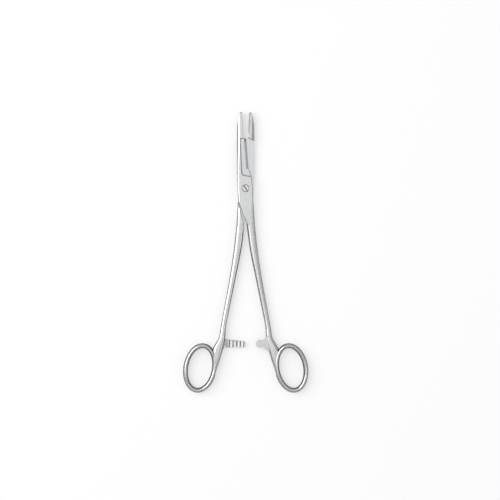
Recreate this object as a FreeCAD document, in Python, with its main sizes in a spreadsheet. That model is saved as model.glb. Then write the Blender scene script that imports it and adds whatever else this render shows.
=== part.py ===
"""Surgical needle holder with suture scissors behind the jaws, in stainless steel.

Two forged halves cross in a lap joint and turn on a slotted screw. Each half is one piece:
jaw, scissor blade, joint plate, shank, ratchet bar and finger ring. Both are drawn in the
same closed frame, the pivot at the origin and the jaws along +Y, as the half that lies in
front. The back half is the same forging turned over about the long axis. Millimetres.
"""
import FreeCAD, Part
import math
import os
import Sketcher
from FreeCAD import Placement, Rotation, Vector

SIZES = {
    # the joint
    "joint_thickness": 6.0,         # over both plates
    "slide_gap": 0.04,              # between the two halves where they slide
    "lap_clearance": 0.15,          # beside the walls of the crossing
    "plate_top_x": 3.9,             # inner edge of the joint plate at the heel of the blade
    "plate_low_x": 4.6,             # and where it runs into the shank
    "plate_low_y": -9.0,
    "lap_top_x": -5.2,              # the slanted lower edge of the joint plate
    "lap_top_y": -7.0,
    "lap_low_x": -0.5,
    "lap_low_y": -22.6,
    "lap_end_y": -31.0,             # where the shanks no longer cross
    # the jaws
    "jaw_tip_y": 50.5,
    "jaw_base_y": 34.0,             # full thickness starts here, on the centre line
    "jaw_base_slant": 0.5,          # and falls by this much for each mm outwards
    "jaw_gap": 0.05,                # between the two faces when closed
    "nose_start_y": 42.0,           # the nose narrows from here, seen from the front
    "nose_start_width": 3.6,
    "nose_end_width": 1.75,
    "nose_round": 1.5,
    "face_start_y": 46.0,           # and from here, seen on its face
    "face_start_depth": 4.7,
    "face_end_depth": 3.0,
    "face_round": 1.35,
    "serration_pitch": 0.66,
    "serration_depth": 0.28,
    "serration_count": 24,
    "groove_length": 11.4,
    "groove_width": 1.6,
    "groove_depth": 0.4,
    "groove_from_tip": 3.6,
    "insert_length": 13.9,
    "insert_thickness": 0.9,
    "insert_root_depth": 4.5,
    "insert_tip_depth": 2.9,
    "insert_tip_round": 1.25,
    # the scissor blades
    "blade_clearance": 0.4,         # under the base of the other jaw
    "blade_heel_y": 7.4,
    "blade_bend_x": 2.2,
    "blade_bend_y": 13.0,
    "blade_bend_round": 9.0,
    "blade_tip_x": 1.67,
    "spine_x": -2.5,                # the blade is milled thin beside its spine
    "recess_depth": 1.4,
    "recess_slope": 20.0,           # degrees, of the walls round the milled part
    "recess_foot_y": 8.6,
    "recess_drop": 1.3,
    "recess_round": 2.6,
    "blade_land": 0.35,             # thickness left along the cutting edge
    "bevel_width": 1.25,            # of the ground edge, seen from the front
    # the screw
    "screw_head_diameter": 4.6,
    "screw_head_height": 1.2,
    "screw_chamfer": 0.2,           # on the head and round its seat
    "screw_shoulder_diameter": 3.2,
    "screw_thread_diameter": 2.6,
    "screw_clearance": 0.05,
    "screw_slot_width": 0.6,
    "screw_slot_depth": 0.6,
    "screw_slot_angle": 125.0,
    # the ratchet
    "ratchet_y": -103.2,
    "ratchet_thickness": 2.3,
    "ratchet_gap": 0.12,            # between the tips of the teeth as they pass
    "ratchet_root_x": 10.8,
    "ratchet_overlap": 2.4,         # of the two bars when closed
    "bar_tip_height": 3.7,
    "bar_flare_x": 8.8,             # the long bar widens into its shank from here
    "bar_flare_height": 5.3,
    "bar_root_height": 9.0,
    "catch_tip_x": 1.95,
    "catch_tip_height": 4.9,        # the short bar ends in a bulb behind a neck
    "catch_tip_round": 2.3,
    "catch_bulb_x": 5.2,
    "catch_flare_x": 6.5,
    "catch_flare_height": 3.5,
    "catch_root_height": 12.4,
    "tooth_pitch": 2.4,
    "tooth_depth": 0.85,
    "tooth_flat": 0.2,              # of the pitch, the flat between two teeth
    "bar_tooth_count": 5,
    "catch_tooth_count": 2,
    "ratchet_round": 0.8,
    # the finger rings
    "ring_x": 24.6,
    "ring_y": -120.2,
    "ring_opening_length": 26.7,
    "ring_opening_width": 15.8,
    "ring_tilt": 7.8,               # degrees, the top towards the shank
    "ring_section_width": 3.1,
    "ring_section_height": 6.0,
    # the opening shown, each half turned by this much from closed
    "half_open": 2.7,               # degrees
}

# Cross-sections of the forging, from the jaw to the ring: place along it, inner and outer
# edge seen from the front, thickness, and how round the corners are (1 is a full round).
SECTIONS = {
    "jaw_end": {"place": 51.5, "left": -2.95, "right": 2.95, "depth": 3.0, "round": 0.8},
    "jaw_root": {"place": 33.0, "left": -4.15, "right": 4.15, "depth": 5.2, "round": 0.8},
    "blade": {"place": 12.0, "left": -5.13, "right": 5.13, "depth": 6.0, "round": 0.45},
    "joint": {"place": 0.0, "left": -5.3, "right": 5.3, "depth": 6.0, "round": 0.35},
    "heel": {"place": -9.0, "left": -5.3, "right": 4.65, "depth": 6.0, "round": 0.4},
    "crossing": {"place": -17.0, "left": -3.5, "right": 4.8, "depth": 5.6, "round": 0.6},
    "neck": {"place": -24.5, "left": -0.45, "right": 4.9, "depth": 5.0, "round": 0.8},
    "shank_top": {"place": -40.8, "left": 0.98, "right": 5.88, "depth": 4.4, "round": 0.9},
    "shank_mid": {"place": -60.6, "left": 3.95, "right": 7.95, "depth": 4.0, "round": 0.9},
    "shank_low": {"place": -80.4, "left": 7.0, "right": 10.6, "depth": 3.8, "round": 0.9},
    "shank_foot": {"place": -92.0, "left": 8.75, "right": 12.1, "depth": 4.1, "round": 0.9},
    "catch_root": {"place": -100.0, "left": 8.9, "right": 13.2, "depth": 5.0, "round": 0.8},
    "ring_neck": {"place": -107.3, "left": 10.1, "right": 16.8, "depth": 5.7, "round": 0.8},
    "ring_side": {"place": -115.8, "left": 12.2, "right": 16.3, "depth": 5.7, "round": 0.8},
    "ring_end": {"place": -124.5, "left": 13.9, "right": 16.2, "depth": 4.4, "round": 0.9},
}

FAR = 30.0      # well outside the piece, for the open side of a cut

doc = FreeCAD.newDocument("needle_holder")
sheet = doc.addObject("Spreadsheet::Sheet", "Sizes")


def fill_sheet():
    """Writes every driving size into a cell of its own, under its own name."""
    rows = dict(SIZES)
    for section, edges in SECTIONS.items():
        for edge, number in edges.items():
            rows[section + "_" + edge] = number
    for row, (name, number) in enumerate(rows.items(), 1):
        sheet.set("A%d" % row, name)
        sheet.set("B%d" % row, repr(number))
        sheet.setAlias("B%d" % row, name)
    doc.recompute()
    return rows


ALL_SIZES = fill_sheet()


def bound(text):
    """Turns plain size names in a formula into cells of the sheet."""
    words = []
    word = ""
    for letter in text + " ":
        if letter.isalnum() or letter == "_":
            word += letter
            continue
        words.append("Sizes." + word if word in ALL_SIZES else word)
        words.append(letter)
        word = ""
    return "".join(words).strip()


def value(text):
    """The number that a formula of sizes gives now."""
    return float(sheet.evalExpression(bound(text)))


def new_sketch(body, name, role, x="0", y="0", z="0", turn="0", axis=Vector(0, 0, 1)):
    """A sketch on one of the body's own planes, shifted and turned in that plane's frame."""
    sketch = body.newObject("Sketcher::SketchObject", name)
    plane = [p for p in body.Origin.OriginFeatures if p.Role == role][0]
    sketch.AttachmentSupport = [(plane, "")]
    sketch.MapMode = "FlatFace"
    sketch.AttachmentOffset = Placement(Vector(value(x), value(y), value(z)), Rotation(axis, value(turn)))
    for key, text in (("x", x), ("y", y), ("z", z)):
        if text != "0":
            sketch.setExpression("AttachmentOffset.Base." + key, bound(text))
    if turn != "0":
        sketch.setExpression("AttachmentOffset.Rotation.Angle", bound(turn))
    return sketch


def pin(rules, geometry, end, x, y):
    """Ties a point of a sketch to two formulas of sizes."""
    for kind, text in (("DistanceX", x), ("DistanceY", y)):
        rules.append((Sketcher.Constraint(kind, -1, 1, geometry, end, value(text)), text))


def size(rules, kind, geometry, text):
    """Ties a length or radius of a sketch to a formula of sizes."""
    rules.append((Sketcher.Constraint(kind, geometry, value(text)), text))


def rule(rules, *words):
    """Adds a constraint that needs no size."""
    rules.append((Sketcher.Constraint(*words), None))


def apply(sketch, rules):
    """Gives a sketch its constraints and binds their sizes to the sheet."""
    start = sketch.ConstraintCount
    sketch.addConstraint([constraint for constraint, text in rules])
    for index, (constraint, text) in enumerate(rules, start):
        if text is not None:
            sketch.setExpression("Constraints[%d]" % index, bound(text))
    return sketch


def outline(sketch, corners):
    """Draws a closed outline, counter-clockwise; a corner with a third value is rounded."""
    points = [Vector(value(c[0]), value(c[1]), 0) for c in corners]
    count = len(corners)
    leave, arrive, arcs = list(points), list(points), {}
    for i, corner in enumerate(corners):
        if len(corner) < 3:
            continue
        back = (points[i - 1] - points[i]).normalize()
        ahead = (points[(i + 1) % count] - points[i]).normalize()
        half = back.getAngle(ahead) / 2
        radius = value(corner[2])
        arrive[i] = points[i] + back * (radius / math.tan(half))
        leave[i] = points[i] + ahead * (radius / math.tan(half))
        arcs[i] = (points[i] + (back + ahead).normalize() * (radius / math.sin(half)), radius)
    rules, lines = [], []
    for i in range(count):
        lines.append(sketch.addGeometry(Part.LineSegment(leave[i], arrive[(i + 1) % count]), False))
    for i, corner in enumerate(corners):
        before, after = lines[i - 1], lines[i]
        if i not in arcs:
            rule(rules, "Coincident", before, 2, after, 1)
            pin(rules, after, 1, corner[0], corner[1])
            continue
        centre, radius = arcs[i]
        left_turn = (points[i] - points[i - 1]).cross(points[(i + 1) % count] - points[i]).z > 0
        first, last = (arrive[i], leave[i]) if left_turn else (leave[i], arrive[i])
        angles = [math.atan2(p.y - centre.y, p.x - centre.x) for p in (first, last)]
        bend = Part.ArcOfCircle(Part.Circle(centre, Vector(0, 0, 1), radius), *angles)
        arc = sketch.addGeometry(bend, False)
        mark = sketch.addGeometry(Part.Point(points[i]), True)
        pin(rules, mark, 1, corner[0], corner[1])
        rule(rules, "PointOnObject", mark, 1, before)
        rule(rules, "PointOnObject", mark, 1, after)
        ends = (1, 2) if left_turn else (2, 1)
        rule(rules, "Tangent", before, 2, arc, ends[0])
        rule(rules, "Tangent", arc, ends[1], after, 1)
        size(rules, "Radius", arc, corner[2])
    return apply(sketch, rules)


def ellipse(sketch, x_radius, y_radius, x="0"):
    """An ellipse on the sketch's x axis, its long axis upright."""
    centre = Vector(value(x), 0, 0)
    long_end = centre + Vector(0, value(y_radius), 0)
    short_end = centre + Vector(value(x_radius), 0, 0)
    curve = sketch.addGeometry(Part.Ellipse(long_end, short_end, centre), False)
    sketch.exposeInternalGeometry(curve)
    long_axis, short_axis = curve + 1, curve + 2
    rules = []
    rule(rules, "Vertical", long_axis)
    size(rules, "Distance", long_axis, "2 * (%s)" % y_radius)
    size(rules, "Distance", short_axis, "2 * (%s)" % x_radius)
    pin(rules, curve, 3, x, "0")
    return apply(sketch, rules)


def circle(sketch, diameter):
    """A circle about the sketch's own origin."""
    disc = sketch.addGeometry(Part.Circle(Vector(), Vector(0, 0, 1), value(diameter) / 2), False)
    rules = []
    rule(rules, "Coincident", disc, 3, -1, 1)
    size(rules, "Diameter", disc, diameter)
    return apply(sketch, rules)


def spindle(sketch, low, high, width):
    """Two like arcs that meet in a point at both ends."""
    ends = [Vector(value(low), 0, 0), Vector(value(high), 0, 0)]
    crown = Vector(0, value(width) / 2, 0)
    middle = (ends[0] + ends[1]) / 2
    arcs = [sketch.addGeometry(Part.Arc(ends[0], middle + side, ends[1]), False)
            for side in (crown * -1, crown)]
    bow = "((%s - (%s)) ^ 2 + (%s) ^ 2) / (4 * (%s))" % (high, low, width, width)
    rules = []
    rule(rules, "Coincident", arcs[0], 1, arcs[1], 2)
    rule(rules, "Coincident", arcs[0], 2, arcs[1], 1)
    pin(rules, arcs[0], 1, low, "0")
    pin(rules, arcs[0], 2, high, "0")
    size(rules, "Radius", arcs[0], bow)
    size(rules, "Radius", arcs[1], bow)
    return apply(sketch, rules)


def volume_now(body):
    return body.Shape.Volume if body.Tip and not body.Shape.isNull() else 0.0


def add(body, kind, name, profile, grows, **settings):
    """Adds a feature made from a sketch, and checks that it adds or takes away steel."""
    doc.recompute()
    before = volume_now(body)
    feature = body.newObject("PartDesign::" + kind, name)
    feature.Profile = profile
    feature.Refine = False
    for key, setting in settings.items():
        if isinstance(setting, str) and key in ("Length", "TaperAngle"):
            feature.setExpression(key, bound(setting))
        else:
            setattr(feature, key, setting)
    doc.recompute()
    change = volume_now(body) - before
    if change == 0 or (change > 0) != grows:
        raise RuntimeError("%s of %s changes the volume by %.4f" % (name, body.Label, change))
    return feature


def repeat(body, name, feature, axis_role, step, count, backwards=False):
    """Repeats a cut in a row, makes the row the body's tip and checks that it cuts."""
    before = volume_now(body)
    row = body.newObject("PartDesign::LinearPattern", name)
    axis = [p for p in body.Origin.OriginFeatures if p.Role == axis_role][0]
    row.Originals = [feature]
    row.Refine = False
    row.Reversed = backwards
    row.Direction = (axis, [""])
    row.setExpression("Length", bound("(%s) * (%s - 1)" % (step, count)))
    row.setExpression("Occurrences", bound(count))
    body.Tip = row
    doc.recompute()
    if volume_now(body) >= before:
        raise RuntimeError("%s of %s cuts nothing" % (name, body.Label))


MID = "joint_thickness / 2"
SLIDE = MID + " + slide_gap / 2"
FACE = "-jaw_gap / 2"


def forging_section(body, name):
    """A rounded rectangle across the forging."""
    width = "(%s_right - %s_left)" % (name, name)
    depth = name + "_depth"
    radius = "%s_round * min(%s; %s) / 2" % (name, width, depth)
    sketch = new_sketch(body, name + "_section", "XZ_Plane",
                        x="(%s_left + %s_right) / 2" % (name, name), y=MID, z="-%s_place" % name)
    half_w, half_d = width + " / 2", depth + " / 2"
    return outline(sketch, [("-" + half_w, "-" + half_d, radius), (half_w, "-" + half_d, radius),
                            (half_w, half_d, radius), ("-" + half_w, half_d, radius)])


def blank(body):
    """The forging before it is machined: straight-sided between sections, jaw to ring."""
    sections = [forging_section(body, name) for name in SECTIONS]
    add(body, "AdditiveLoft", "Forging", sections[0], True, Sections=sections[1:], Ruled=True)


def finger_ring(body):
    """An oval bar bent to an oval ring."""
    path = new_sketch(body, "ring_path", "XY_Plane", x="ring_x", y="ring_y", z=MID, turn="ring_tilt")
    ellipse(path, "(ring_opening_width + ring_section_width) / 2",
            "(ring_opening_length + ring_section_width) / 2")
    section = new_sketch(body, "ring_section", "YZ_Plane", x="ring_y", y=MID, z="ring_x",
                         turn="ring_tilt", axis=Vector(0, 1, 0))
    ellipse(section, "ring_section_width / 2", "ring_section_height / 2",
            x="(ring_opening_length + ring_section_width) / 2")
    add(body, "AdditivePipe", "Finger_ring", section, True, Spine=(path, ["Edge1"]))


def lap_joint(body):
    """Cuts each half to its own layer where the two cross, and its jaw to the face."""
    base = "jaw_base_y - jaw_base_slant * (%s)"
    under = new_sketch(body, "lap_under", "XY_Plane", z=SLIDE)
    outline(under, [
        ("-%g" % FAR, "lap_end_y"), ("lap_clearance", "lap_end_y"),
        ("-lap_low_x + lap_clearance", "lap_low_y"), ("-lap_top_x + lap_clearance", "lap_top_y"),
        ("%g" % FAR, "lap_top_y"), ("%g" % FAR, "jaw_tip_y + %g" % FAR),
        (FACE, "jaw_tip_y + %g" % FAR), (FACE, base % "jaw_gap / 2"),
        ("-%g" % FAR, base % ("%g" % FAR))])
    add(body, "Pocket", "Lap_under", under, False, Type="ThroughAll")

    blade_top = "jaw_base_y - blade_clearance"
    over = new_sketch(body, "lap_over", "XY_Plane", z=SLIDE)
    outline(over, [
        ("plate_low_x", "plate_low_y"), ("%g" % FAR, "plate_low_y"),
        ("%g" % FAR, "jaw_tip_y + %g" % FAR), (FACE, "jaw_tip_y + %g" % FAR),
        (FACE, blade_top), ("blade_tip_x", blade_top + " - jaw_base_slant * blade_tip_x"),
        ("blade_bend_x", "blade_bend_y", "blade_bend_round"), ("plate_top_x", "blade_heel_y")])
    add(body, "Pocket", "Lap_over", over, False, Type="ThroughAll", Reversed=True)

    slant = new_sketch(body, "lap_slant", "XY_Plane", z=SLIDE)
    outline(slant, [("-%g" % FAR, "lap_end_y"), ("0", "lap_end_y"), ("lap_low_x", "lap_low_y"),
                    ("lap_top_x", "lap_top_y"), ("-%g" % FAR, "lap_top_y")])
    add(body, "Pocket", "Lap_slant", slant, False, Type="ThroughAll", Reversed=True)


def blade(body):
    """Mills the scissor blade thin beside its spine, then grinds the cutting edge."""
    top = "jaw_base_y - blade_clearance"
    recess = new_sketch(body, "recess", "XY_Plane", z="joint_thickness")
    outline(recess, [("spine_x", "recess_foot_y", "recess_round"),
                     ("plate_top_x", "recess_foot_y - recess_drop"),
                     ("%g" % FAR, "recess_foot_y - recess_drop"), ("%g" % FAR, top + " + recess_depth"),
                     ("0", top + " + recess_depth"), ("0", top), ("spine_x", top)])
    add(body, "Pocket", "Blade_recess", recess, False, Length="recess_depth",
        TaperAngle="-recess_slope")

    slant = "atan((blade_bend_x - blade_tip_x) / (%s - blade_bend_y))" % top
    bevel = new_sketch(body, "bevel", "XZ_Plane", x="blade_bend_x", y=SLIDE + " + blade_land",
                       z="-blade_bend_y", turn=slant, axis=Vector(0, 1, 0))
    rise = "(joint_thickness - recess_depth - (%s) - blade_land)" % SLIDE
    outline(bevel, [("0", "0"), ("%g" % FAR, "0"), ("%g" % FAR, rise), ("-bevel_width", rise)])
    add(body, "Pocket", "Edge_bevel", bevel, False, Length=top + " - blade_bend_y")


def jaw_tip(body):
    """Rounds the end of the jaw, seen from the front and seen on its face."""
    front = new_sketch(body, "tip_front", "XY_Plane", z=MID)
    outline(front, [("-%g" % FAR, "nose_start_y"), ("-nose_start_width", "nose_start_y"),
                    ("-nose_end_width", "jaw_tip_y", "nose_round"), ("%g" % FAR, "jaw_tip_y"),
                    ("%g" % FAR, "jaw_tip_y + %g" % FAR), ("-%g" % FAR, "jaw_tip_y + %g" % FAR)])
    add(body, "Pocket", "Tip_front", front, False, Type="ThroughAll", Midplane=True)

    face = new_sketch(body, "tip_face", "YZ_Plane", y=MID)
    start, tip = "face_start_depth / 2", "face_end_depth / 2"
    outline(face, [("face_start_y", "-%g" % FAR), ("jaw_tip_y + %g" % FAR, "-%g" % FAR),
                   ("jaw_tip_y + %g" % FAR, "%g" % FAR), ("face_start_y", "%g" % FAR),
                   ("face_start_y", start), ("jaw_tip_y", tip, "face_round"),
                   ("jaw_tip_y", "-" + tip, "face_round"), ("face_start_y", "-" + start)])
    add(body, "Pocket", "Tip_face", face, False, Type="ThroughAll", Midplane=True)


def jaw_teeth(body):
    """Transverse serrations and a spindle-shaped groove in the steel face."""
    half = "serration_pitch / 2"
    first = "jaw_tip_y - serration_pitch"
    notch = new_sketch(body, "serration", "XY_Plane", z=MID)
    outline(notch, [(FACE + " - serration_depth", first), (FACE, first + " - " + half),
                    (FACE + " + serration_depth", first), (FACE, first + " + " + half)])
    cut = add(body, "Pocket", "Serration", notch, False, Type="ThroughAll", Midplane=True)
    repeat(body, "Serrations", cut, "Y_Axis", "serration_pitch", "serration_count", backwards=True)

    groove = new_sketch(body, "groove", "YZ_Plane", y=MID, z=FACE)
    spindle(groove, "jaw_tip_y - groove_from_tip - groove_length", "jaw_tip_y - groove_from_tip",
            "groove_width")
    add(body, "Pocket", "Face_groove", groove, False, Length="groove_depth")


def insert_seat(body):
    """Cuts the jaw back for the hard-metal face."""
    seat = new_sketch(body, "seat", "XY_Plane", z=MID)
    back = FACE + " - insert_thickness"
    start = "jaw_tip_y - insert_length"
    outline(seat, [(back, start), ("%g" % FAR, start), ("%g" % FAR, "jaw_tip_y + %g" % FAR),
                   (back, "jaw_tip_y + %g" % FAR)])
    add(body, "Pocket", "Insert_seat", seat, False, Type="ThroughAll", Midplane=True)


def ratchet(body, tip, corners, teeth):
    """The bar that reaches for the other shank, with teeth on its hidden side.

    Its corners are a place along it, the height there and the rounding, from the tip on.
    """
    middle, low = "ratchet_y %s (%s) / 2", MID + " + ratchet_gap / 2"
    upper, lower = ([(along, middle % (sign, height), bend) for along, height, bend in corners]
                    for sign in "+-")
    root = [("ratchet_root_x", middle % (sign, tip[1])) for sign in "-+"]
    bar = new_sketch(body, "ratchet_outline", "XY_Plane", z=low)
    outline(bar, lower + root + upper[::-1])
    add(body, "Pad", "Ratchet_bar", bar, True, Length="ratchet_thickness")

    tooth = new_sketch(body, "tooth", "XZ_Plane", x=tip[0], y=low, z="-ratchet_y")
    outline(tooth, [("tooth_pitch * tooth_flat", "-tooth_depth"), ("tooth_pitch", "0"),
                    ("tooth_pitch * tooth_flat", "tooth_depth")])
    cut = add(body, "Pocket", "Tooth", tooth, False, Length="catch_root_height", Midplane=True)
    repeat(body, "Teeth", cut, "X_Axis", "tooth_pitch", teeth)


def long_bar(body):
    """The back half's bar."""
    tip = "-catch_tip_x - ratchet_overlap"
    ratchet(body, (tip, "bar_root_height"),
            [(tip, "bar_tip_height", "ratchet_round"),
             ("bar_flare_x", "bar_flare_height", "ratchet_round")], "bar_tooth_count")


def short_catch(body):
    """The front half's bar."""
    ratchet(body, ("catch_tip_x", "catch_root_height"),
            [("catch_tip_x", "catch_tip_height", "catch_tip_round"),
             ("catch_bulb_x", "catch_tip_height", "ratchet_round"),
             ("catch_flare_x", "catch_flare_height", "ratchet_round")], "catch_tooth_count")


def screw_sink(body):
    """The round seat of the screw's head, chamfered at its mouth."""
    mouth = "screw_head_diameter / 2 + screw_clearance"
    floor = "joint_thickness - screw_head_height - screw_clearance"
    profile = new_sketch(body, "sink", "XZ_Plane")
    outline(profile, [("0", floor), (mouth, floor), (mouth, "joint_thickness - screw_chamfer"),
                      (mouth + " + screw_chamfer", "joint_thickness"),
                      (mouth + " + screw_chamfer", "%g" % FAR), ("0", "%g" % FAR)])
    add(body, "Groove", "Screw_sink", profile, False, Angle=360.0,
        ReferenceAxis=(profile, ["V_Axis"]))


def half(label, is_front):
    """One forged half; the front one has the plain bore, the short catch and the steel face."""
    body = doc.addObject("PartDesign::Body", label)
    body.Label = label
    blank(body)
    lap_joint(body)
    blade(body)
    jaw_tip(body)
    finger_ring(body)
    if is_front:
        short_catch(body)
        jaw_teeth(body)
        screw_sink(body)
        bore = "screw_shoulder_diameter + 2 * screw_clearance"
    else:
        long_bar(body)
        insert_seat(body)
        bore = "screw_thread_diameter"
    hole = circle(new_sketch(body, "bore", "XY_Plane", z=MID), bore)
    add(body, "Pocket", "Screw_bore", hole, False, Type="ThroughAll", Reversed=True)
    return body


def joint_screw():
    """Slotted screw: a flush head, a plain shoulder as the pivot and a threaded end."""
    body = doc.addObject("PartDesign::Body", "joint_screw")
    body.Label = "joint_screw"
    head, shoulder, thread = ("screw_%s_diameter / 2" % s for s in ("head", "shoulder", "thread"))
    under_head = "joint_thickness - screw_head_height"
    seat = MID + " - slide_gap / 2"
    profile = new_sketch(body, "profile", "XZ_Plane")
    outline(profile, [("0", "0"), (thread, "0"), (thread, seat), (shoulder, seat),
                      (shoulder, under_head), (head, under_head),
                      (head, "joint_thickness - screw_chamfer"),
                      (head + " - screw_chamfer", "joint_thickness"), ("0", "joint_thickness")])
    add(body, "Revolution", "Turned", profile, True, Angle=360.0,
        ReferenceAxis=(profile, ["V_Axis"]))
    slot = new_sketch(body, "slot", "XY_Plane", z="joint_thickness", turn="screw_slot_angle")
    half_slot = "screw_slot_width / 2"
    outline(slot, [("-screw_head_diameter", "-" + half_slot), ("screw_head_diameter", "-" + half_slot),
                   ("screw_head_diameter", half_slot), ("-screw_head_diameter", half_slot)])
    add(body, "Pocket", "Slot", slot, False, Length="screw_slot_depth")
    return body


def jaw_insert():
    """Hard-metal face of the back half's jaw."""
    body = doc.addObject("PartDesign::Body", "jaw_insert")
    body.Label = "jaw_insert"
    face = new_sketch(body, "face", "YZ_Plane", y=MID, z=FACE)
    start = "jaw_tip_y - insert_length"
    root, tip = "insert_root_depth / 2", "insert_tip_depth / 2"
    outline(face, [(start, "-" + root), ("jaw_tip_y", "-" + tip, "insert_tip_round"),
                   ("jaw_tip_y", tip, "insert_tip_round"), (start, root)])
    add(body, "Pad", "Plate", face, True, Length="insert_thickness", Reversed=True)
    return body


def check(pieces):
    """Stops if any object failed or a piece isn't one valid solid."""
    for thing in doc.Objects:
        if "Invalid" in thing.State or "Error" in thing.State:
            raise RuntimeError("%s is %s" % (thing.Name, thing.State))
    for piece in pieces:
        shape = piece.Shape
        if shape.isNull() or not shape.isValid() or len(shape.Solids) != 1:
            raise RuntimeError("%s is not one valid solid" % piece.Label)
        print(piece.Label, "%.1f mm3" % shape.Volume, shape.BoundBox)


front = half("front_half", True)
back = half("back_half", False)
screw = joint_screw()
insert = jaw_insert()
doc.recompute()

opened = value("half_open")
front.Placement = Placement(Vector(), Rotation(Vector(0, 0, 1), opened))
turned_over = Placement(Vector(0, 0, value("joint_thickness")), Rotation(Vector(0, 1, 0), 180))
back.Placement = Placement(Vector(), Rotation(Vector(0, 0, 1), -opened)) * turned_over
insert.Placement = back.Placement
doc.recompute()

PIECES = [front, back, screw, insert]
check(PIECES)
os.makedirs("parts", exist_ok=True)
for piece in PIECES:
    piece.Shape.exportStep("parts/%s.step" % piece.Label)
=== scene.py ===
"""Surgical needle holder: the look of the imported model, in satin stainless steel, metres."""

import math

import bmesh
import bpy
from mathutils import Matrix, Vector


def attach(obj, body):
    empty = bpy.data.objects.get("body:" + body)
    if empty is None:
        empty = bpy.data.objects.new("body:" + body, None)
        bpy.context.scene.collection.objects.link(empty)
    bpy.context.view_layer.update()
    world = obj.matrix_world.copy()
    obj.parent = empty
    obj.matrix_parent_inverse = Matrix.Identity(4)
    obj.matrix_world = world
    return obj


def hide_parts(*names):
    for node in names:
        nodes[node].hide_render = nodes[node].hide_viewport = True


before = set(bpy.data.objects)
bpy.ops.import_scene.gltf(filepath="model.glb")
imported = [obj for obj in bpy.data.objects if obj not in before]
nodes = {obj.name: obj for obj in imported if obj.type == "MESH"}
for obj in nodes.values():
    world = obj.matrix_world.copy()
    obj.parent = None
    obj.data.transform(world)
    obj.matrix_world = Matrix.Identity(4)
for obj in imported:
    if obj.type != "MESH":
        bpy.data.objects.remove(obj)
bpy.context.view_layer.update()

MM = 0.001

# The picture: camera straight above, up in the picture is +Y, pivot at the origin.
PICTURE_WIDTH = 0.33035          # across the whole frame
PICTURE_CENTRE = (0.00287, -0.04077)
CAMERA_LENS = 120.0
TOP_FACE = 6 * MM                # height of the front faces above the floor

# The studio: each lamp's place, width, height and power, then the room and the floor.
LAMPS = {
    "key": ((-0.9, 0.35, 1.0), 1.0, 1.2, 12.0),
    "top": ((-0.12, 0.1, 1.5), 1.2, 1.0, 2.3),
    "fill": ((0.95, -0.22, 0.87), 0.4, 0.5, 0.95)}
LAMP_AIM = (0.0, -0.04, 0.0)
ROOM_LEVEL = 0.62                # brightness of the room beside the lamps
ROOM_IN_STEEL = 0.5              # and how bright the steel shows it
FLOOR_HALF_SIDE = 3.0
FLOOR_DROP = 0.02 * MM           # the floor lies this far under the instrument
FLOOR_TONE = 0.9
FLOOR_WHITENESS = 0.55           # how far it is lifted to white where the camera sees it
FLOOR_PAINTED_IN_STEEL = (0.03, 0.75)    # how light the steel's reflection of it is painted right below, as painted shade, and further off
FLOOR_REACH = (4 * MM, 20 * MM)  # where the first ends and the second begins

# The surface of the metals
EDGE_ROUND = 0.14 * MM           # polishing has broken the edges by this much
EDGE_POLISH = 0.06               # and made them smoother by this
# painted glint: how much lighter the edges are painted
EDGE_PAINTED_GLINT = 0.5
SHADE_REACH = 1.0 * MM         # walls nearer than this shade the steel, and the shade is painted into its colour
SHADE_TONE = 0.2               # share of the dark tone that the painted shade leaves there
FINE_GRAIN = 9000.0              # lines of the grain to the metre
BROAD_GRAIN = 2300.0
HAND_PATCHES = 85.0
SINTER_GRAIN = 14000.0
GRAIN_HEIGHT = 0.01 * MM
LATHE_PITCH = 0.12 * MM

# Cleaning of the solids' meshes
WELD = 0.001 * MM
SLIVER = 0.002 * MM
FLAT = math.radians(0.4)         # faces that turn by less are one face
CREASE = 25.0                    # degrees, from which an edge is sharp
INSERT_CREASE = 20.0

# The working faces of the jaws, as in the solids.
HALF_OPEN = math.radians(2.7)
JAW_TIP = 50.5 * MM
FACE_GAP = 0.025 * MM
MID_HEIGHT = 3 * MM
INSERT_LENGTH = 13.9 * MM
INSERT_THICKNESS = 0.9 * MM
INSERT_ROOT_DEPTH = 4.5 * MM
INSERT_TIP_DEPTH = 2.9 * MM
INSERT_TIP_ROUND = 1.25 * MM
CROSS_CUT_LENGTH = 11.4 * MM
CROSS_CUT_PITCH = 0.5 * MM
CROSS_CUT_DEPTH = 0.14 * MM
PYRAMID_FOOT = 0.98              # half widths of a pyramid, as shares of its diamond
PYRAMID_TOP = 0.16

# The shank in the closed frame, as in the solids, in mm: place along it, inner edge, outer edge
# and thickness. The solids run straight from one place to the next; the polished steel flows.
SHANK = [
    (-24.5, -0.45, 4.9, 5.0), (-40.8, 0.98, 5.88, 4.4), (-60.6, 3.95, 7.95, 4.0),
    (-80.4, 7.0, 10.6, 3.8), (-92.0, 8.75, 12.1, 4.1), (-100.0, 8.9, 13.2, 5.0),
    (-107.3, 10.1, 16.8, 5.7), (-115.8, 12.2, 16.3, 5.7), (-124.5, 13.9, 16.2, 4.4)]
SHANK_END_INNER = 14.9           # where the inner edge sinks into the ring
SHANK_START = -31.0              # the halves no longer cross from here on
SHANK_FADE_IN = 5.0              # the easing grows over this length
SHANK_END = SHANK[-1][0]
SHANK_MARGIN = 0.1
SHANK_STEP = 2.6                 # between two cuts across the shank
SHANK_REACH = 3.0                # the easing fades out beside the shank over this
RING_CENTRE = Vector((24.6, -120.2))
RING_TILT = math.radians(7.8)
RING_RADII = (9.45, 14.9)        # of the bar's middle line
RING_BAR = (1.55, 3.0)           # half width and half height of the bar
RING_SKIN = 1.03                 # points nearer to its middle line than this belong to the ring
RING_SEARCH = [step * 0.02 for step in range(-15, 16)]


# Node helpers

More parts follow.
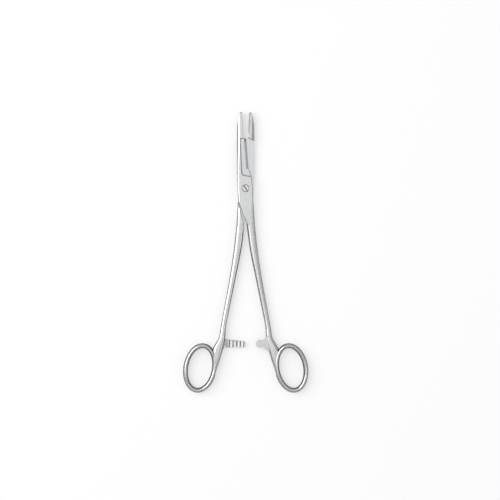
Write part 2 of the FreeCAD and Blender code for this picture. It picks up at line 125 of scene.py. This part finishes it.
def new_group(name, vectors, outputs):
    """An empty shader node group with vector inputs, and outputs of the given kinds."""
    group = bpy.data.node_groups.new(name, "ShaderNodeTree")
    for label in vectors:
        group.interface.new_socket(label, in_out="INPUT", socket_type="NodeSocketVector")
    for label, kind in outputs.items():
        group.interface.new_socket(label, in_out="OUTPUT", socket_type=kind)
    return group, group.nodes.new("NodeGroupInput"), group.nodes.new("NodeGroupOutput")


def add_node(tree, kind, **settings):
    """Adds a node and sets its properties."""
    node = tree.nodes.new(kind)
    for key, setting in settings.items():
        setattr(node, key, setting)
    return node


def calculate(tree, operation, first, second=None):
    """A math node; each argument is a socket or a number."""
    node = add_node(tree, "ShaderNodeMath", operation=operation)
    for socket, argument in zip(node.inputs, (first, second)):
        if isinstance(argument, (int, float)):
            socket.default_value = argument
        elif argument is not None:
            tree.links.new(argument, socket)
    return node.outputs[0]


def noise(tree, vector, scale, detail=3.0):
    """A noise texture read at a vector."""
    node = add_node(tree, "ShaderNodeTexNoise")
    node.inputs["Scale"].default_value = scale
    node.inputs["Detail"].default_value = detail
    node.inputs["Roughness"].default_value = 0.55
    tree.links.new(vector, node.inputs["Vector"])
    return node.outputs["Fac"]


def stretched(tree, vector, scale):
    """The vector scaled apart along its axes."""
    node = add_node(tree, "ShaderNodeMapping")
    node.inputs["Scale"].default_value = scale
    tree.links.new(vector, node.inputs["Vector"])
    return node.outputs["Vector"]


def remap(tree, value, low, high, new_low, new_high):
    """Stretches one range of a value over another, held at both ends."""
    node = add_node(tree, "ShaderNodeMapRange")
    tree.links.new(value, node.inputs["Value"])
    ends = {"From Min": low, "From Max": high, "To Min": new_low, "To Max": new_high}
    for label, number in ends.items():
        node.inputs[label].default_value = number
    return node.outputs["Result"]


def satin_grain():
    """Fine grinding lines along the instrument, and soft patches left by hands and wiping."""
    group, inside, outside = new_group(
        "satin_grain", ["Vector"], {"Lines": "NodeSocketFloat", "Patches": "NodeSocketFloat"})
    vector = inside.outputs["Vector"]
    fine = noise(group, stretched(group, vector, (1.0, 0.035, 1.0)), FINE_GRAIN, 2.0)
    broad = noise(group, stretched(group, vector, (1.0, 0.06, 1.0)), BROAD_GRAIN)
    lines = calculate(group, "ADD", calculate(group, "MULTIPLY", fine, 0.6),
                      calculate(group, "MULTIPLY", broad, 0.4))
    group.links.new(lines, outside.inputs["Lines"])
    patches = remap(group, noise(group, vector, HAND_PATCHES, 4.0), 0.35, 0.7, 0.0, 1.0)
    group.links.new(patches, outside.inputs["Patches"])
    return group


def soft_edge():
    """Edges broken by polishing: a rounded normal, and a mask that is high along the edge, used for
    their polish and for a painted glint.
    """
    group, inside, outside = new_group(
        "soft_edge", [], {"Normal": "NodeSocketVector", "Edge": "NodeSocketFloat"})
    rounded = add_node(group, "ShaderNodeBevel", samples=6)
    rounded.inputs["Radius"].default_value = EDGE_ROUND
    geometry = add_node(group, "ShaderNodeNewGeometry")
    facing = add_node(group, "ShaderNodeVectorMath", operation="DOT_PRODUCT")
    group.links.new(rounded.outputs["Normal"], facing.inputs[0])
    group.links.new(geometry.outputs["Normal"], facing.inputs[1])
    mask = remap(group, facing.outputs["Value"], 1.0, 0.8, 0.0, 1.0)
    group.links.new(mask, outside.inputs["Edge"])
    group.links.new(rounded.outputs["Normal"], outside.inputs["Normal"])
    return group


def occlusion_shade():
    """How open a place is, as painted shade: 1 on free faces, less in slots, in joints and near the
    floor, where shade falls.
    """
    group, inside, outside = new_group("occlusion_shade", [], {"Unshaded": "NodeSocketFloat"})
    around = add_node(group, "ShaderNodeAmbientOcclusion", samples=8)
    around.inputs["Distance"].default_value = SHADE_REACH
    unshaded = remap(group, around.outputs["AO"], 0.42, 0.9, 0.0, 1.0)
    group.links.new(unshaded, outside.inputs["Unshaded"])
    return group


GRAIN = satin_grain()
SOFT_EDGE = soft_edge()
OCCLUSION_SHADE = occlusion_shade()


def metal(name, colour, dark_colour, roughness, spread, relief, grain=None):
    """A bare metal: colour varies with the grain, roughness with the grain, the patches and the
    edges; the colour also holds a painted glint along the edges and painted shade in slots, joints
    and near the floor.
    """
    material = bpy.data.materials.new(name)
    material.use_nodes = True
    tree = material.node_tree
    shader = tree.nodes["Principled BSDF"]
    shader.inputs["Metallic"].default_value = 1.0
    where = add_node(tree, "ShaderNodeTexCoord").outputs["Object"]
    surface = add_node(tree, "ShaderNodeGroup", node_tree=GRAIN)
    tree.links.new(where, surface.inputs["Vector"])
    lines = surface.outputs["Lines"] if grain is None else grain(tree, where)
    soft = add_node(tree, "ShaderNodeGroup", node_tree=SOFT_EDGE)
    edge = soft.outputs["Edge"]

    tone = add_node(tree, "ShaderNodeMix", data_type="RGBA")
    tone.inputs[6].default_value = (*dark_colour, 1.0)
    tone.inputs[7].default_value = (*colour, 1.0)
    # painted glint: the edges are painted lighter, on top of the grain
    grain_and_glint = calculate(tree, "ADD", remap(tree, lines, 0.35, 0.65, 0.35, 0.9),
                       calculate(tree, "MULTIPLY", edge, EDGE_PAINTED_GLINT))
    tree.links.new(grain_and_glint, tone.inputs[0])
    # painted shade: slots, joints and the steel near the floor are painted darker where ambient
    # occlusion finds walls
    painted_shade = add_node(tree, "ShaderNodeMix", data_type="RGBA")
    painted_shade.inputs[6].default_value = (*(SHADE_TONE * part for part in dark_colour), 1.0)
    shade_node = add_node(tree, "ShaderNodeGroup", node_tree=OCCLUSION_SHADE)
    tree.links.new(shade_node.outputs["Unshaded"], painted_shade.inputs[0])
    tree.links.new(tone.outputs[2], painted_shade.inputs[7])
    tree.links.new(painted_shade.outputs[2], shader.inputs["Base Color"])

    wiped = remap(tree, surface.outputs["Patches"], 0.0, 1.0,
                  roughness - spread, roughness + spread)
    streaked = calculate(tree, "ADD", wiped,
                         remap(tree, lines, 0.3, 0.7, -spread / 2, spread / 2))
    worn = calculate(tree, "SUBTRACT", streaked, calculate(tree, "MULTIPLY", edge, EDGE_POLISH))
    tree.links.new(worn, shader.inputs["Roughness"])

    bump = add_node(tree, "ShaderNodeBump")
    bump.inputs["Strength"].default_value = relief
    bump.inputs["Distance"].default_value = GRAIN_HEIGHT
    tree.links.new(lines, bump.inputs["Height"])
    tree.links.new(soft.outputs["Normal"], bump.inputs["Normal"])
    tree.links.new(bump.outputs["Normal"], shader.inputs["Normal"])
    return material


def turned_rings(tree, where):
    """Rings left by the lathe, round the screw's own axis."""
    radius = add_node(tree, "ShaderNodeVectorMath", operation="LENGTH")
    tree.links.new(stretched(tree, where, (1.0, 1.0, 0.0)), radius.inputs[0])
    turns = calculate(tree, "MULTIPLY", radius.outputs["Value"], 2 * math.pi / LATHE_PITCH)
    return remap(tree, calculate(tree, "SINE", turns), -1.0, 1.0, 0.3, 0.7)


def sintered(tree, where):
    """The fine even grain of hard metal."""
    return noise(tree, where, SINTER_GRAIN, 4.0)


STEEL = metal("satin_steel", (0.66, 0.665, 0.67), (0.50, 0.505, 0.515), 0.27, 0.05, 0.35)
SCREW_STEEL = metal(
    "turned_steel", (0.68, 0.67, 0.66), (0.50, 0.49, 0.48), 0.22, 0.03, 0.5, turned_rings)
HARD_METAL = metal(
    "hard_metal", (0.46, 0.46, 0.47), (0.30, 0.30, 0.31), 0.33, 0.04, 0.5, sintered)


# Pieces

def finished_piece(form, name, material, crease):
    """Makes a shape an object: smooth shading that breaks at real edges, and one material."""
    limit = math.radians(crease)
    for face in form.faces:
        face.smooth = True
    for edge in form.edges:
        edge.smooth = edge.calc_face_angle(math.pi) < limit
    mesh = bpy.data.meshes.new(name)
    form.to_mesh(mesh)
    form.free()
    mesh.materials.append(material)
    piece = bpy.data.objects.new(name, mesh)
    bpy.context.scene.collection.objects.link(piece)
    weighted = piece.modifiers.new("even_faces", "WEIGHTED_NORMAL")
    weighted.keep_sharp = True
    return piece


def stand_in(piece, node, body):
    """Puts a piece in the place of a CAD node, on its body."""
    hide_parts(node)
    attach(piece, body)


def along_shank(column, station, eased):
    """An edge or the thickness of the shank at a station: straight between sections, or eased."""
    rows = [list(row) for row in SHANK]
    if eased:
        rows[-1][1] = SHANK_END_INNER
    index = max(i for i in range(len(rows) - 1) if i == 0 or rows[i][0] >= station)
    low, high = rows[index], rows[index + 1]
    span = high[0] - low[0]
    share = min(max((station - low[0]) / span, 0.0), 1.0)
    rise = high[column] - low[column]
    straight = low[column] + rise * share
    if not eased:
        return straight

    def slope(i):
        first, last = rows[max(i - 1, 0)], rows[min(i + 1, len(rows) - 1)]
        return (last[column] - first[column]) / (last[0] - first[0])

    start, stop = slope(index) * span - rise, rise - slope(index + 1) * span
    return straight + share * (1 - share) * (start * (1 - share) + stop * share)


def shank_at(station, eased):
    """Inner edge, outer edge and thickness of the shank at a station."""
    return [along_shank(column, station, eased) for column in (1, 2, 3)]


def beside_ring(point):
    """The nearest place on the ring's middle line, in mm, and how far off: 1 is the bar's skin."""
    flat = Vector((point.x, point.y)) - RING_CENTRE
    flat.rotate(Matrix.Rotation(-RING_TILT, 2))
    angle = math.atan2(flat.y / RING_RADII[1], flat.x / RING_RADII[0])
    line = [Vector((RING_RADII[0] * math.cos(angle + turn), RING_RADII[1] * math.sin(angle + turn)))
            for turn in RING_SEARCH]
    foot = min(line, key=lambda spot: (flat - spot).length)
    off = math.hypot((flat - foot).length / RING_BAR[0], (point.z - MID_HEIGHT / MM) / RING_BAR[1])
    foot.rotate(Matrix.Rotation(RING_TILT, 2))
    return foot + RING_CENTRE, off


def ease_shank(form):
    """Lets the shank flow from section to section, in the closed frame."""
    station = SHANK_START
    while station > SHANK_END:
        bmesh.ops.bisect_plane(
            form, geom=form.verts[:] + form.edges[:] + form.faces[:], dist=0.01 * MM,
            plane_co=(0, station * MM, 0), plane_no=(0, 1, 0))
        station -= SHANK_STEP
    for vert in form.verts:
        point = vert.co / MM
        if point.y > SHANK_START or point.y < SHANK_END - SHANK_MARGIN:
            continue
        if beside_ring(point)[1] < RING_SKIN:
            continue
        inner, outer, depth = shank_at(point.y, False)
        new_inner, new_outer, new_depth = shank_at(point.y, True)
        across = min(max((point.x - inner) / (outer - inner), 0.0), 1.0)
        beside = max(inner - point.x, point.x - outer, 0.0)
        fade_in = min((SHANK_START - point.y) / SHANK_FADE_IN, 1.0)
        fade = max(1.0 - beside / SHANK_REACH, 0.0) * fade_in
        point.x += ((new_inner - inner) * (1 - across) + (new_outer - outer) * across) * fade
        middle = Vector((0, 0, MID_HEIGHT / MM))
        point.z += (point.z - middle.z) * (new_depth / depth - 1.0) * fade
        # what has come into the ring's bar goes out to its skin
        foot, off = beside_ring(point)
        if off < 1.0:
            middle.xy = foot
            point = middle + (point - middle) / off
        vert.co = point * MM


def dressed_copy(node, name, body, material, closed_frame=None):
    """A welded copy of a CAD node, with its flat faces made whole, that stands for it."""
    form = bmesh.new()
    form.from_mesh(nodes[node].data)
    bmesh.ops.remove_doubles(form, verts=form.verts, dist=WELD)
    bmesh.ops.dissolve_degenerate(form, dist=SLIVER, edges=form.edges)
    bmesh.ops.dissolve_limit(
        form, angle_limit=FLAT, verts=form.verts, edges=form.edges, delimit={"NORMAL"})
    if closed_frame is not None:
        bmesh.ops.transform(form, verts=form.verts, matrix=closed_frame.inverted())
        ease_shank(form)
        bmesh.ops.transform(form, verts=form.verts, matrix=closed_frame)
    stand_in(finished_piece(form, name, material, CREASE), node, body)


def insert_plate():
    """The insert's plate in local YZ, its back at x = 0, and its plain land at full height."""
    form = bmesh.new()
    base = INSERT_THICKNESS - CROSS_CUT_DEPTH
    start, end = JAW_TIP - INSERT_LENGTH, JAW_TIP
    bmesh.ops.create_cube(form, size=1.0)
    for vert in form.verts:
        at_tip = vert.co.y > 0
        depth = INSERT_TIP_DEPTH if at_tip else INSERT_ROOT_DEPTH
        vert.co = Vector(((vert.co.x + 0.5) * base, end if at_tip else start, vert.co.z * depth))
    corners = [e for e in form.edges if all(v.co.y == end for v in e.verts)
               and e.verts[0].co.z == e.verts[1].co.z]
    bmesh.ops.bevel(form, geom=corners, offset=INSERT_TIP_ROUND, segments=8, profile=0.5,
                    affect="EDGES", material=-1)

    cut_start = end - CROSS_CUT_LENGTH
    bmesh.ops.bisect_plane(form, geom=form.verts[:] + form.edges[:] + form.faces[:],
                           plane_co=(0, cut_start, 0), plane_no=(0, 1, 0))
    land = [f for f in form.faces if f.normal.x > 0.9 and f.calc_center_median().y < cut_start]
    raised = bmesh.ops.extrude_face_region(form, geom=land)
    moved = [v for v in raised["geom"] if isinstance(v, bmesh.types.BMVert)]
    bmesh.ops.translate(form, verts=moved, vec=(CROSS_CUT_DEPTH, 0, 0))
    return form


def cross_cut(form):
    """One small pyramid on each diamond that the two crossing cuts leave."""
    base = INSERT_THICKNESS - CROSS_CUT_DEPTH
    step = CROSS_CUT_PITCH * math.sqrt(2) / 2
    columns = int(INSERT_ROOT_DEPTH / 2 / step) + 1
    growth = (INSERT_ROOT_DEPTH - INSERT_TIP_DEPTH) / INSERT_LENGTH
    for row in range(int(CROSS_CUT_LENGTH / step)):
        y = JAW_TIP - CROSS_CUT_LENGTH + (row + 1) * step
        to_tip = JAW_TIP - y
        if to_tip < step:
            continue
        half_depth = (INSERT_TIP_DEPTH + growth * to_tip) / 2
        if to_tip < INSERT_TIP_ROUND:
            drop = INSERT_TIP_ROUND - to_tip
            half_depth -= INSERT_TIP_ROUND - math.sqrt(INSERT_TIP_ROUND ** 2 - drop ** 2)
        for column in range(-columns, columns + 1):
            z = column * step
            if (row + column) % 2 or abs(z) + step > half_depth:
                continue
            upright = Matrix.Rotation(math.radians(90), 4, "Y")
            there = Matrix.Translation((base + CROSS_CUT_DEPTH / 2, y, z)) @ upright
            bmesh.ops.create_cone(
                form, cap_ends=True, segments=4, radius1=step * PYRAMID_FOOT,
                radius2=step * PYRAMID_TOP, depth=CROSS_CUT_DEPTH, matrix=there)


def insert_face():
    """The hard-metal face of the right jaw, turned to look at the other jaw across the gap."""
    form = insert_plate()
    cross_cut(form)
    seat = (Matrix.Rotation(-HALF_OPEN, 4, "Z")
            @ Matrix.Translation((FACE_GAP + INSERT_THICKNESS, 0, MID_HEIGHT)))
    bmesh.ops.transform(form, verts=form.verts, matrix=Matrix.Rotation(math.pi, 4, "Y"))
    bmesh.ops.transform(form, verts=form.verts, matrix=seat)
    bmesh.ops.recalc_face_normals(form, faces=form.faces)
    piece = finished_piece(form, "cross_cut_face", HARD_METAL, INSERT_CREASE)
    stand_in(piece, "jaw_insert", "back")


FRONT_FRAME = Matrix.Rotation(HALF_OPEN, 4, "Z")
BACK_FRAME = (Matrix.Rotation(-HALF_OPEN, 4, "Z") @ Matrix.Translation((0, 0, 2 * MID_HEIGHT))
              @ Matrix.Rotation(math.pi, 4, "Y"))
dressed_copy("front_half", "front_half_steel", "front", STEEL, FRONT_FRAME)
dressed_copy("back_half", "back_half_steel", "back", STEEL, BACK_FRAME)
dressed_copy("joint_screw", "screw_steel_turned", "back", SCREW_STEEL)
insert_face()


# Floor, light and camera

def floor_paint():
    """Plain pale paint, lifted to white for the camera; where the steel reflects it, it is painted
    dark right below the steel as painted shade, and greyer further off.
    """
    paint = bpy.data.materials.new("pale_floor")
    paint.use_nodes = True
    tree = paint.node_tree
    shader = tree.nodes["Principled BSDF"]
    shader.inputs["Roughness"].default_value = 0.9
    shader.inputs["Specular IOR Level"].default_value = 0.0
    rays = add_node(tree, "ShaderNodeLightPath")
    seen = add_node(tree, "ShaderNodeMix", data_type="RGBA")
    seen.inputs[6].default_value = (FLOOR_TONE, FLOOR_TONE, FLOOR_TONE, 1.0)
    # painted shade: in the steel's reflections the floor is painted dark right below it and greyer
    # further off
    painted_floor_reflection = remap(tree, rays.outputs["Ray Length"], *FLOOR_REACH, *FLOOR_PAINTED_IN_STEEL)
    tree.links.new(painted_floor_reflection, seen.inputs[7])
    tree.links.new(rays.outputs["Is Glossy Ray"], seen.inputs[0])
    tree.links.new(seen.outputs[2], shader.inputs["Base Color"])
    white = add_node(tree, "ShaderNodeEmission")
    blend = add_node(tree, "ShaderNodeMixShader")
    lift = calculate(tree, "MULTIPLY", rays.outputs["Is Camera Ray"], FLOOR_WHITENESS)
    tree.links.new(lift, blend.inputs[0])
    tree.links.new(shader.outputs[0], blend.inputs[1])
    tree.links.new(white.outputs[0], blend.inputs[2])
    tree.links.new(blend.outputs[0], tree.nodes["Material Output"].inputs["Surface"])
    return paint


def floor():
    """A plain pale floor that the instrument lies on."""
    form = bmesh.new()
    bmesh.ops.create_grid(form, x_segments=1, y_segments=1, size=FLOOR_HALF_SIDE)
    bmesh.ops.translate(form, verts=form.verts, vec=(0, 0, -FLOOR_DROP))
    mesh = bpy.data.meshes.new("floor")
    form.to_mesh(mesh)
    form.free()
    mesh.materials.append(floor_paint())
    plane = bpy.data.objects.new("floor", mesh)
    bpy.context.scene.collection.objects.link(plane)


def softbox(name, stand, width, height, power):
    """A rectangular area light that looks at the instrument."""
    light = bpy.data.lights.new(name, "AREA")
    light.shape = "RECTANGLE"
    light.size, light.size_y = width, height
    light.energy = power
    lamp = bpy.data.objects.new(name, light)
    lamp.location = stand
    look = Vector(LAMP_AIM) - Vector(stand)
    lamp.rotation_euler = look.to_track_quat("-Z", "Y").to_euler()
    bpy.context.scene.collection.objects.link(lamp)


def studio():
    """A white room, dimmer in the steel and as a light than where the camera sees it."""
    world = bpy.data.worlds.new("studio")
    world.use_nodes = True
    tree = world.node_tree
    rays = add_node(tree, "ShaderNodeLightPath")
    glow = add_node(tree, "ShaderNodeMix", data_type="FLOAT")
    glow.inputs[2].default_value = ROOM_LEVEL
    glow.inputs[3].default_value = 1.0
    tree.links.new(rays.outputs["Is Camera Ray"], glow.inputs[0])
    mirrored = add_node(tree, "ShaderNodeMix", data_type="FLOAT")
    mirrored.inputs[3].default_value = ROOM_IN_STEEL
    tree.links.new(rays.outputs["Is Glossy Ray"], mirrored.inputs[0])
    tree.links.new(glow.outputs[0], mirrored.inputs[2])
    tree.links.new(mirrored.outputs[0], tree.nodes["Background"].inputs["Strength"])
    tree.nodes["Background"].inputs["Color"].default_value = (1.0, 1.0, 1.0, 1.0)
    bpy.context.scene.world = world
    for name, lamp in LAMPS.items():
        softbox(name, *lamp)


def camera():
    """Looks straight down, from where the picture's width fills the frame."""
    lens = bpy.data.cameras.new("camera")
    lens.lens = CAMERA_LENS
    eye = bpy.data.objects.new("camera", lens)
    distance = PICTURE_WIDTH * CAMERA_LENS / lens.sensor_width
    eye.location = (*PICTURE_CENTRE, TOP_FACE + distance)
    bpy.context.scene.collection.objects.link(eye)
    bpy.context.scene.camera = eye


bpy.context.scene.view_settings.view_transform = "Standard"
floor()
studio()
camera()
